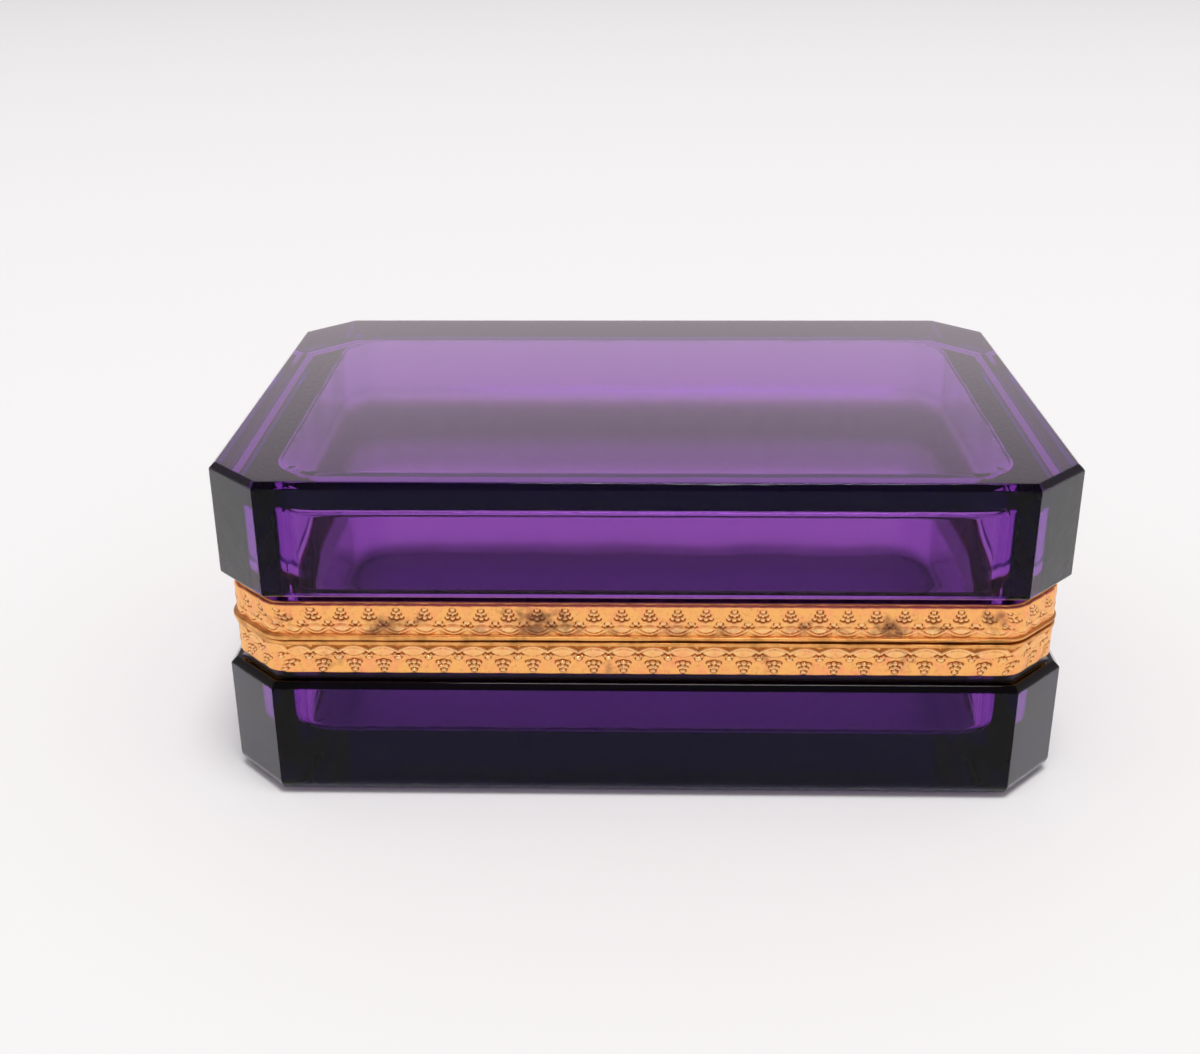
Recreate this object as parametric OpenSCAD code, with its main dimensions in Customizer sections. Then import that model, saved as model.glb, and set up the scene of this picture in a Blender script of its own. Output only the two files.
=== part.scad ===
// Cut-glass casket with embossed gilt mounts: a heavy glass base and a heavy glass lid, hinged at the back.
// Origin: centre of the face that the casket rests on. +Z up, the front faces -Y, millimetres.

/* [Glass outline] */
// Width of both glass blocks over the flat sides
glass_w = 150; // [110:1:200]
// Depth of both glass blocks, front to back
glass_d = 98.5; // [80:0.5:140]
// Leg of the 45 degree cut at each upright corner
corner_cut = 9.6; // [7:0.1:14]
// Polished 45 degree bevel along the sharp edges
bevel = 1; // [0.4:0.1:2]

/* [Base glass] */
// Height of the base glass up to its shoulder
base_h = 22.8; // [18:0.1:40]
// Thickness of the floor under the hollow
floor_t = 9.1; // [5:0.1:12]
// Radius of the ground edge that the base stands inside
foot_r = 3; // [1:0.1:5]
// Radius where the walls inside run into the floor
floor_fillet = 2.4; // [0.6:0.1:5]

/* [Lid glass] */
// Height of the lid glass above its shoulder
lid_h = 21.2; // [16:0.1:40]
// Thickness of the lid over the hollow
crown_t = 7.5; // [5:0.1:12]
// Radius where the walls inside run into the crown
crown_fillet = 1.2; // [0.6:0.1:5]
// Narrow bevel along the lower edge of the lid
lid_heel = 0.5; // [0.3:0.1:2]

/* [Hollow] */
// Thickness of the glass walls at the left and right
side_wall = 10; // [8:0.1:14]
// Thickness of the glass walls at the front and back
front_wall = 9.8; // [8:0.1:14]
// Radius of the upright corners inside
hollow_r = 9; // [6:0.5:12]

/* [Mounts] */
// Height of the base mount from its mating face to its outer edge
base_mount_h = 6.6; // [5:0.1:10]
// Height of the lid mount from its mating face to its outer edge
lid_mount_h = 6.8; // [5:0.1:10]
// Dark reveal of glass neck between the base mount and the shoulder
base_reveal = 1.3; // [0.5:0.1:4]
// Dark reveal of glass neck between the lid mount and the shoulder
lid_reveal = 1.9; // [0.5:0.1:4]
// Gap between the two mating faces with the lid down
seam_gap = 0.3; // [0.2:0.05:0.6]
// Distance from the glass face in to the face of the embossed band
band_inset = 1.5; // [1.3:0.1:2.5]
// Bend radius of the band where it turns a corner
band_bend_r = 6; // [4.5:0.5:8]
// Thickness of the embossed band
band_t = 0.6; // [0.4:0.05:1]
// Thickness of the skirt that the band is soldered to
skirt_t = 0.7; // [0.5:0.05:1]
// Thickness of the flat rim round the opening
rim_t = 0.8; // [0.6:0.05:1.2]
// How far the lip of the lid rim stands out past the band
lid_lip = 0.65; // [0.2:0.05:1]
// How far the lip of the base rim stands out past the band
base_lip = 0.25; // [0.1:0.05:0.6]
// Thickness of the plaster bed between the skirt and the neck
cement_t = 0.4; // [0.2:0.05:0.6]
// How far the plaster stays back inside the edge of the skirt
cement_back = 0.8; // [0.2:0.1:2]
// Thickness of the strip that lines the inside of the neck
liner_t = 0.7; // [0.5:0.05:1]
// Clearance between the liner and the glass
liner_gap = 0.1; // [0.05:0.05:0.3]
// Depth of the liner below the rim
liner_depth = 6.4; // [4:0.1:10]

/* [Embossing] */
// Spacing of the motifs along the base band
base_motif_pitch = 5.25; // [4:0.05:8]
// Spacing of the motifs along the lid band
lid_motif_pitch = 4.85; // [4:0.05:8]
// How far the base band's nearest leaf stands to the right of the middle of the front
base_motif_shift = 1.8; // [0:0.1:4]
// How far the lid band's nearest leaf stands to the right of the middle of the front
lid_motif_shift = 1.1; // [0:0.1:4]
// Radius of the ball that forms each leaf
leaf_r = 1.3; // [0.9:0.05:1.6]
// Radius of the ball that forms each boss
boss_r = 1; // [0.6:0.05:1.4]
// Height that a leaf or boss stands off the band
relief = 0.4; // [0.2:0.05:0.55]
// Height of the plain raised strip along the outer edge of a band
edge_h = 0.6; // [0.3:0.1:1]
// How far that strip stands off the band
edge_relief = 0.2; // [0.1:0.05:0.4]

/* [Hinge] */
// Number of knuckles, the odd ones on the base
knuckles = 5; // [3:2:9]
// Length of one knuckle
knuckle_len = 6.5; // [4:0.5:12]
// End gap between neighbouring knuckles
knuckle_gap = 0.2; // [0.1:0.05:0.4]
// Outer radius of a knuckle
knuckle_r = 1.7; // [1.4:0.1:2.4]
// Radius of the hinge pin
pin_r = 0.8; // [0.5:0.05:1]
// Radial clearance of the pin in its knuckles
pin_fit = 0.05; // [0.02:0.01:0.1]
// Clearance of each knuckle past the rims and the other leaf
knuckle_clear = 0.3; // [0.2:0.05:0.5]
// Thickness of a leaf beyond the lip of the lid rim
leaf_t = 1; // [0.6:0.1:1.5]
// Height of a leaf on its band
leaf_h = 4.6; // [3:0.1:5]
// Radius of the pin's peened ends
pin_head_r = 1.2; // [0.9:0.1:1.6]
// Thickness of the pin's peened ends
pin_head_t = 0.5; // [0.3:0.1:1]
// Angle at which the stop heels of the two leaves meet
open_angle = 95; // [90:1:110]
// Reach of a stop heel from the pin's axis
heel_reach = 3.3; // [2.6:0.1:4]
// Air left between the two stop heels at that angle
heel_air = 0.3; // [0.2:0.05:0.5]

/* [Hidden] */

$fn = 64;
foot_steps = 8; // facets of the ground foot edge
far = 400; // longer than any part, for cuts that run right through
eps = 0.01;

half_w = glass_w / 2;
half_d = glass_d / 2;
diag = sqrt(2);

base_mate_z = base_h + base_reveal + base_mount_h;
lid_mate_z = base_mate_z + seam_gap;
lid_shoulder_z = lid_mate_z + lid_mount_h + lid_reveal;
top_z = lid_shoulder_z + lid_h;

skirt_inset = band_inset + band_t;
bed_inset = skirt_inset + skirt_t;
neck_inset = bed_inset + cement_t;
neck_end = rim_t + cement_t; // from the mating face to the end of the glass neck

hollow_w = glass_w - 2 * side_wall;
hollow_d = glass_d - 2 * front_wall;
liner_out = liner_gap; // from the glass face in to the outside of the liner
liner_in = liner_gap + liner_t;

axis_y = half_d - band_inset + lid_lip + knuckle_clear + knuckle_r;
axis_z = (base_mate_z + lid_mate_z) / 2;
hinge_len = knuckles * knuckle_len + (knuckles - 1) * knuckle_gap;
leaf_face_y = half_d - band_inset;
leaf_out_y = half_d - band_inset + lid_lip + leaf_t;

// Eight sides of the cut-corner outline, anticlockwise from the front
facet_dist = (half_w + half_d - corner_cut) / diag;
function side_dist(k) = k % 2 == 1 ? facet_dist : (k % 4 == 0 ? half_d : half_w);
function side_dir(k) = [cos(-90 + 45 * k), sin(-90 + 45 * k)];
// Corner between side k and the next, with every side moved in by inset
function corner(k, inset) =
    let (
        a = side_dir(k), b = side_dir(k + 1),
        p = side_dist(k % 8) - inset, q = side_dist((k + 1) % 8) - inset,
        det = a[0] * b[1] - a[1] * b[0]
    )
    [(p * b[1] - q * a[1]) / det, (a[0] * q - b[0] * p) / det];

// Outline of the mounts with rounded bends, which keep their centres at every inset so that walls stay even
function bend_r(inset) = band_bend_r - (inset - band_inset);
function bend_centre(k) = corner(k, band_inset + band_bend_r);
function bend_point(k, side, inset) = bend_centre(k) + bend_r(inset) * side_dir(side);

// Lengths along the band's face: side k runs between two bend centres, and each bend turns 45 degrees.
bend_len = PI / 4 * band_bend_r;
function side_len(k) = norm(bend_centre(k) - bend_centre((k + 7) % 8));
function run_to(k) = k == 0 ? 0 : run_to(k - 1) + side_len(k - 1) + bend_len;
band_len = run_to(8);
band_middle = side_len(0) / 2; // the middle of the front
// [x, y, outward angle] at distance s along the band's face, anticlockwise from the front left bend
function on_band(s, k = 0) =
    s > band_len ? on_band(s - band_len) :
    let (left = s - run_to(k))
    left <= side_len(k) ?
        let (p = bend_point((k + 7) % 8, k, band_inset) + left * side_dir(k + 2))
        [p[0], p[1], -90 + 45 * k] :
    left <= side_len(k) + bend_len ?
        let (
            turn = -90 + 45 * k + 45 * (left - side_len(k)) / bend_len,
            p = bend_centre(k) + band_bend_r * [cos(turn), sin(turn)]
        ) [p[0], p[1], turn] :
    on_band(s, k + 1);
function behind_leaf(p) = p[1] > 0 && abs(p[0]) < hinge_len / 2 + leaf_r;

GLASS = [0.25, 0.1, 0.36, 0.85];
GILT = [0.93, 0.64, 0.36];
BRASS = [0.8, 0.6, 0.32];
PLASTER = [0.86, 0.83, 0.76];
STEEL = [0.55, 0.52, 0.48];

// Plan outline of the mounts, moved in by inset
module mount_outline(inset) {
    polygon([for (k = [0:7]) each [bend_point(k, k, inset), bend_point(k, k + 1, inset)]]);
    for (k = [0:7]) translate(bend_centre(k)) circle(r = bend_r(inset));
}

// Puts a shape at each of the four upright corners of the hollow
module at_hollow_corners() {
    for (x = [-1, 1], y = [-1, 1])
        translate([x * (hollow_w / 2 - hollow_r), y * (hollow_d / 2 - hollow_r), 0]) children();
}

// Plan outline of the hollow, moved in by inset
module hollow_outline(inset) {
    r = hollow_r - inset;
    square([hollow_w - 2 * hollow_r, hollow_d - 2 * inset], center = true);
    square([hollow_w - 2 * inset, hollow_d - 2 * hollow_r], center = true);
    at_hollow_corners() circle(r = r);
}

// Corner points at centre c and radius r, from angle a0 on through a quarter turn.
// One step is a 45 degree bevel.
function quarter(c, r, a0, steps) =
    [for (i = [0:steps]) c + r * [cos(a0 + 90 * i / steps), sin(a0 + 90 * i / steps)]];

// Upright section through a glass block of width w and height h, with z = 0 at its shoulder.
// It is bevelled by heel there, and its far corners are cut back by edge in that many steps.
module block_section(w, h, heel, edge, steps) {
    polygon(concat(
        [[-w / 2, heel], [-w / 2 + heel, 0], [w / 2 - heel, 0], [w / 2, heel]],
        quarter([w / 2 - edge, h - edge], edge, 0, steps),
        quarter([-w / 2 + edge, h - edge], edge, 90, steps)
    ));
}

// Runs a section right through, with its width along the direction that turn gives in plan
module run_through(turn, length = far) {
    rotate([0, 0, turn]) rotate([90, 0, 0]) translate([0, 0, -length / 2]) linear_extrude(length) children();
}

// Solid cut-corner block: its four sections crossed. z = 0 at the shoulder, rising to h.
module glass_block(h, heel, edge, steps) {
    intersection() {
        run_through(0) block_section(glass_w, h, heel, edge, steps);
        run_through(90) block_section(glass_d, h, heel, edge, steps);
        run_through(45) block_section(2 * facet_dist, h, heel, edge, steps);
        run_through(-45) block_section(2 * facet_dist, h, heel, edge, steps);
    }
}

// Section of the hollow at width w from z0 to z1, with corners of radius f at z1
module hollow_section(w, z0, z1, f) {
    polygon([
        [-w / 2, z0], [w / 2, z0], [w / 2, z1 - f], [w / 2 - f, z1], [-w / 2 + f, z1], [-w / 2, z1 - f]
    ]);
    for (x = [-1, 1]) translate([x * (w / 2 - f), z1 - f]) circle(r = f);
}

// Hollow with rounded upright corners and a fillet of radius f all round its far end
module hollow(z0, z1, f) {
    run_through(0, hollow_d - 2 * hollow_r) hollow_section(hollow_w, z0, z1, f);
    run_through(90, hollow_w - 2 * hollow_r) hollow_section(hollow_d, z0, z1, f);
    at_hollow_corners() rotate_extrude() {
        polygon([[0, z0], [hollow_r, z0], [hollow_r, z1 - f], [hollow_r - f, z1], [0, z1]]);
        intersection() {
            translate([hollow_r - f, z1 - f]) circle(r = f);
            translate([0, z1 - f]) square([hollow_r, f]);
        }
    }
}

// One glass: block, neck and hollow, which ends roof_t short of the block's far face in a fillet.
// z = 0 at the shoulder, and the neck points down.
module hollow_glass(h, heel, edge, steps, roof_t, fillet, neck_h) {
    difference() {
        union() {
            glass_block(h, heel, edge, steps);
            translate([0, 0, -neck_h]) linear_extrude(neck_h + heel) mount_outline(neck_inset);
        }
        hollow(-neck_h - 1, h - roof_t, fillet);
    }
}

// Ring between two insets of the mount outline
module mount_ring(outer, inner, z0, z1) {
    translate([0, 0, z0]) linear_extrude(z1 - z0) difference() {
        mount_outline(outer);
        mount_outline(inner);
    }
}

// Flat rim with its lip, and the skirt that goes round the neck. z = 0 at the mating face.
module rim(mount_h, lip) {
    linear_extrude(rim_t) difference() {
        mount_outline(band_inset - lip);
        hollow_outline(liner_in);
    }
    mount_ring(skirt_inset, bed_inset, rim_t, mount_h);
}

// Plaster over the end of the neck and down between the neck and the skirt
module plaster_bed(mount_h) {
    translate([0, 0, rim_t]) linear_extrude(cement_t) difference() {
        mount_outline(bed_inset);
        hollow_outline(0);
    }
    mount_ring(bed_inset, neck_inset, neck_end, mount_h - cement_back);
}

// Strip that lines the inside of the neck, hanging from the rim
module liner() {
    translate([0, 0, rim_t]) linear_extrude(liner_depth) difference() {
        hollow_outline(liner_out);
        hollow_outline(liner_in);
    }
}

// Shallow dome of a ball of radius r that stands off the band by relief, facing +X
module dome(r) {
    root = band_t / 3; // how far the dome is let into the band
    rotate([0, 90, 0]) rotate_extrude() intersection() {
        translate([0, relief - r]) circle(r = r);
        translate([0, -root]) square([r, root + relief]);
    }
}

// Embossed strip round the skirt: a raised outer edge, leaves along its middle, and bosses between them
// near the lip
module gallery_band(mount_h, motif_pitch, motif_shift) {
    band_h = mount_h - rim_t;
    motifs = round(band_len / motif_pitch);
    step = band_len / motifs;
    mount_ring(band_inset, skirt_inset, rim_t, mount_h);
    mount_ring(band_inset - edge_relief, skirt_inset, mount_h - edge_h, mount_h);
    for (i = [0:motifs - 1]) {
        leaf = on_band(band_middle + motif_shift + i * step);
        boss = on_band(band_middle + motif_shift + (i + 0.5) * step);
        if (!behind_leaf(leaf))
            translate([leaf[0], leaf[1], rim_t + 0.58 * band_h]) rotate([0, 0, leaf[2]]) dome(leaf_r);
        if (!behind_leaf(boss))
            translate([boss[0], boss[1], rim_t + 0.24 * band_h]) rotate([0, 0, boss[2]]) dome(boss_r);
    }
}

// Cylinder along X over knuckle i, longer by extra at each end
module over_knuckle(i, r, extra = 0) {
    x = -hinge_len / 2 + i * (knuckle_len + knuckle_gap);
    translate([x - extra, 0, 0]) rotate([0, 90, 0]) cylinder(r = r, h = knuckle_len + 2 * extra);
}

// Hinge leaf above the pin's axis, which is the origin: plate, stop heel and every second knuckle
// from first on
module hinge_leaf(lip, first) {
    face = leaf_face_y - axis_y;
    out = leaf_out_y - axis_y;
    mate = seam_gap / 2;
    top = mate + rim_t + leaf_h;
    stop_dir = [cos(open_angle / 2), sin(open_angle / 2)];
    stop_off = heel_air / 2 * [-stop_dir[1], stop_dir[0]];
    difference() {
        union() {
            run_through(90, hinge_len) {
                polygon([
                    [face, mate + rim_t], [face + lip, mate + rim_t], [face + lip, mate],
                    [out, mate], [out, top], [face, top]
                ]);
                polygon([
                    [out - eps, mate], stop_off, heel_reach * stop_dir + stop_off, [out - eps, top - 1]
                ]);
            }
            for (i = [first:2:knuckles - 1]) over_knuckle(i, knuckle_r);
        }
        for (i = [1 - first:2:knuckles - 1]) over_knuckle(i, knuckle_r + knuckle_clear, knuckle_gap);
        rotate([0, 90, 0]) cylinder(r = pin_r + pin_fit, h = far, center = true);
    }
}

// Turns a mount or leaf drawn upwards into its place on the base
module hang_from(z) {
    translate([0, 0, z]) mirror([0, 0, 1]) children();
}

module base_glass() {
    color(GLASS) hang_from(base_h)
        hollow_glass(
            base_h, bevel, foot_r, foot_steps, floor_t, floor_fillet, base_mount_h + base_reveal - neck_end
        );
}

module base_plaster_bed() {
    color(PLASTER) hang_from(base_mate_z) plaster_bed(base_mount_h);
}

module base_rim() {
    color(GILT) hang_from(base_mate_z) rim(base_mount_h, base_lip);
}

module base_liner() {
    color(BRASS) hang_from(base_mate_z) liner();
}

module base_gallery_band() {
    color(GILT) hang_from(base_mate_z) gallery_band(base_mount_h, base_motif_pitch, base_motif_shift);
}

module base_hinge_leaf() {
    color(BRASS) translate([0, axis_y, 0]) hang_from(axis_z) hinge_leaf(base_lip, 0);
}

module hinge_pin() {
    color(STEEL) translate([0, axis_y, axis_z]) {
        rotate([0, 90, 0]) cylinder(r = pin_r, h = hinge_len, center = true);
        for (x = [-1, 1]) translate([x * (hinge_len + pin_head_t) / 2, 0, 0])
            rotate([0, 90, 0]) cylinder(r = pin_head_r, h = pin_head_t, center = true);
    }
}

module lid_glass() {
    color(GLASS) translate([0, 0, lid_shoulder_z])
        hollow_glass(lid_h, lid_heel, bevel, 1, crown_t, crown_fillet, lid_mount_h + lid_reveal - neck_end);
}

module lid_plaster_bed() {
    color(PLASTER) translate([0, 0, lid_mate_z]) plaster_bed(lid_mount_h);
}

module lid_rim() {
    color(GILT) translate([0, 0, lid_mate_z]) rim(lid_mount_h, lid_lip);
}

module lid_liner() {
    color(BRASS) translate([0, 0, lid_mate_z]) liner();
}

module lid_gallery_band() {
    color(GILT) translate([0, 0, lid_mate_z])
        gallery_band(lid_mount_h, lid_motif_pitch, lid_motif_shift);
}

module lid_hinge_leaf() {
    color(BRASS) translate([0, axis_y, axis_z]) hinge_leaf(lid_lip, 1);
}

base_glass();
base_plaster_bed();
base_rim();
base_liner();
base_gallery_band();
base_hinge_leaf();
hinge_pin();
lid_glass();
lid_plaster_bed();
lid_rim();
lid_liner();
lid_gallery_band();
lid_hinge_leaf();
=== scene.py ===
"""Dresses the glass casket: cut purple glass, embossed gilt mounts, hinge, floor, light and camera."""

import logging
import math
from dataclasses import dataclass
from enum import Enum
from typing import Any

import bmesh
import bpy
import numpy as np
from mathutils import Matrix, Vector


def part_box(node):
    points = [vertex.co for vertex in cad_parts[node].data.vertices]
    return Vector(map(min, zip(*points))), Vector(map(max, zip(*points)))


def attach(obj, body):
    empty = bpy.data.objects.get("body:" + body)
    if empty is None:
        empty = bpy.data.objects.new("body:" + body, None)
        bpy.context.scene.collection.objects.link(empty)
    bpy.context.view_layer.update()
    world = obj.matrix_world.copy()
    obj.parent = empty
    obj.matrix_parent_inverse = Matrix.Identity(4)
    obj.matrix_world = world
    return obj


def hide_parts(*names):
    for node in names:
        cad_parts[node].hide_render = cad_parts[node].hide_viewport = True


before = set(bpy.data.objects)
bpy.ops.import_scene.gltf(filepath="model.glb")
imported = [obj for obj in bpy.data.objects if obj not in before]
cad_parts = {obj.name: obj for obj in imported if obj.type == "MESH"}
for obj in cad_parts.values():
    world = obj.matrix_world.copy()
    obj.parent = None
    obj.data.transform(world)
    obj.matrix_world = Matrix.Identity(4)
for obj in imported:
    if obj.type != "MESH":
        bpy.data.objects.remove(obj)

LOG = logging.getLogger("casket")
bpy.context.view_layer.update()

# Point attributes that the finishes read
# relief: paints shade in the strips' hollows and highlight on their high spots
RELIEF = "relief"
# stain: tarnish on the strips, and painted shade on the base glass's shoulder
TARNISH_AND_SHADE = "stain"
PRESSED = "pressed"


def mm(value: float) -> float:
    """Millimetres as metres."""
    return value * 0.001


# Sizes that the glasses, the strips and the mounts share
SIDE_WALL = mm(10.0)
FRONT_WALL = mm(9.8)
HOLLOW_R = mm(9.0)
BAND_INSET = mm(1.5)
BAND_T = mm(0.6)
BAND_BEND_R = mm(6.0)
RIM_T = mm(0.8)

# Points nearer than this become one
MERGE = mm(0.0005)


def linear(colour: str) -> tuple[float, float, float, float]:
    """Turns an sRGB hex colour into linear light.

    Args:
        colour: six hex digits, with or without a leading hash.

    Returns:
        Red, green, blue and an alpha of one, as shader sockets take them.
    """
    digits = colour.lstrip("#")
    parts = [int(digits[i : i + 2], 16) / 255 for i in (0, 2, 4)]
    light = [c / 12.92 if c <= 0.04045 else ((c + 0.055) / 1.055) ** 2.4 for c in parts]
    return (light[0], light[1], light[2], 1.0)


def add_node(
    tree: bpy.types.NodeTree,
    kind: str,
    settings: dict[str | int, Any] | None = None,
    links: dict[str | int, bpy.types.NodeSocket] | None = None,
) -> bpy.types.Node:
    """Adds one node with its settings and links.

    Args:
        tree: node tree that gets the node.
        kind: Blender's identifier for the kind of node.
        settings: values by property name or by input socket.
        links: for each input socket, the output that feeds it.

    Returns:
        The new node.
    """
    node = tree.nodes.new(kind)
    for key, value in (settings or {}).items():
        if isinstance(key, str) and hasattr(node, key):
            setattr(node, key, value)
        else:
            node.inputs[key].default_value = value
    for key, socket in (links or {}).items():
        tree.links.new(socket, node.inputs[key])
    return node


def new_material(name: str) -> tuple[bpy.types.Material, bpy.types.NodeTree, bpy.types.Node]:
    """Makes an empty node material.

    Args:
        name: the real material's name.

    Returns:
        The material, its node tree and its output node.
    """
    material = bpy.data.materials.new(name)
    material.use_nodes = True
    material.node_tree.nodes.clear()
    return material, material.node_tree, add_node(material.node_tree, "ShaderNodeOutputMaterial")


class Half(Enum):
    """The two bodies of the casket."""

    BASE = "base"
    LID = "lid"

    @property
    def away(self) -> float:
        """Direction along Z from the seam into this half."""
        return -1.0 if self is Half.BASE else 1.0


# ---------------------------------------------------------------- finishes


@dataclass(frozen=True)
class AmethystGlass:
    """Soda-lime glass coloured through with manganese, cut, ground and polished.

    Thick paths go almost black, thin ones show violet, and every polished face mirrors the room.
    Near-black on the base's narrow shoulder is painted shade, the shadow under its mount. The mirror of the
    faces is the thin skin alone, so the glass below it has no gloss of its own.
    """

    through_colour: str = "#BF3FDA"
    density: float = 140.0
    ior: float = 1.52
    surface_gloss: float = 0.0
    skin_ior: float = 1.24
    # Near-black painted on the shoulder: painted shade under the mount
    shoulder_shade: str = "#020102"
    polished: float = 0.02
    pressed: float = 0.1
    ripple_mm: float = 14.0
    ripple_depth_mm: float = 0.05
    ripple_strength: float = 0.12

    def make(self) -> bpy.types.Material:
        """Makes the glass, which reads the pressed attribute and the stain attribute, whose near-black is
        painted shade.

        Returns:
            The material.
        """
        material, tree, out = new_material("amethyst_soda_glass_cut")
        place = add_node(tree, "ShaderNodeTexCoord")
        ripple = add_node(
            tree,
            "ShaderNodeTexNoise",
            {"Scale": 1 / mm(self.ripple_mm), "Detail": 1.0},
            {"Vector": place.outputs["Object"]},
        )
        bump = add_node(
            tree,
            "ShaderNodeBump",
            {"Strength": self.ripple_strength, "Distance": mm(self.ripple_depth_mm)},
            {"Height": ripple.outputs["Fac"]},
        )
        inside = add_node(tree, "ShaderNodeAttribute", {"attribute_name": PRESSED})
        rough = add_node(
            tree,
            "ShaderNodeMapRange",
            {"To Min": self.polished, "To Max": self.pressed},
            {"Value": inside.outputs["Fac"]},
        )
        # Painted shade: near-black mixed into the colour of the shoulder, where the mount's shadow falls
        painted_shade = add_node(tree, "ShaderNodeAttribute", {"attribute_name": TARNISH_AND_SHADE})
        through = add_node(
            tree,
            "ShaderNodeMix",
            {"data_type": "RGBA", 6: (1.0, 1.0, 1.0, 1.0), 7: linear(self.shoulder_shade)},
            {0: painted_shade.outputs["Fac"]},
        )
        glass = add_node(
            tree,
            "ShaderNodeBsdfPrincipled",
            {
                "IOR": self.ior,
                "Specular Tint": (self.surface_gloss, self.surface_gloss, self.surface_gloss, 1.0),
                "Transmission Weight": 1.0,
                "Coat Weight": 1.0,
                "Coat Roughness": self.polished,
                "Coat IOR": self.skin_ior,
            },
            {
                "Base Color": through.outputs[2],
                "Normal": bump.outputs["Normal"],
                "Roughness": rough.outputs["Result"],
            },
        )
        depth = add_node(
            tree,
            "ShaderNodeVolumeAbsorption",
            {"Color": linear(self.through_colour), "Density": self.density},
        )
        tree.links.new(glass.outputs["BSDF"], out.inputs["Surface"])
        tree.links.new(depth.outputs["Volume"], out.inputs["Volume"])
        return material


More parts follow.
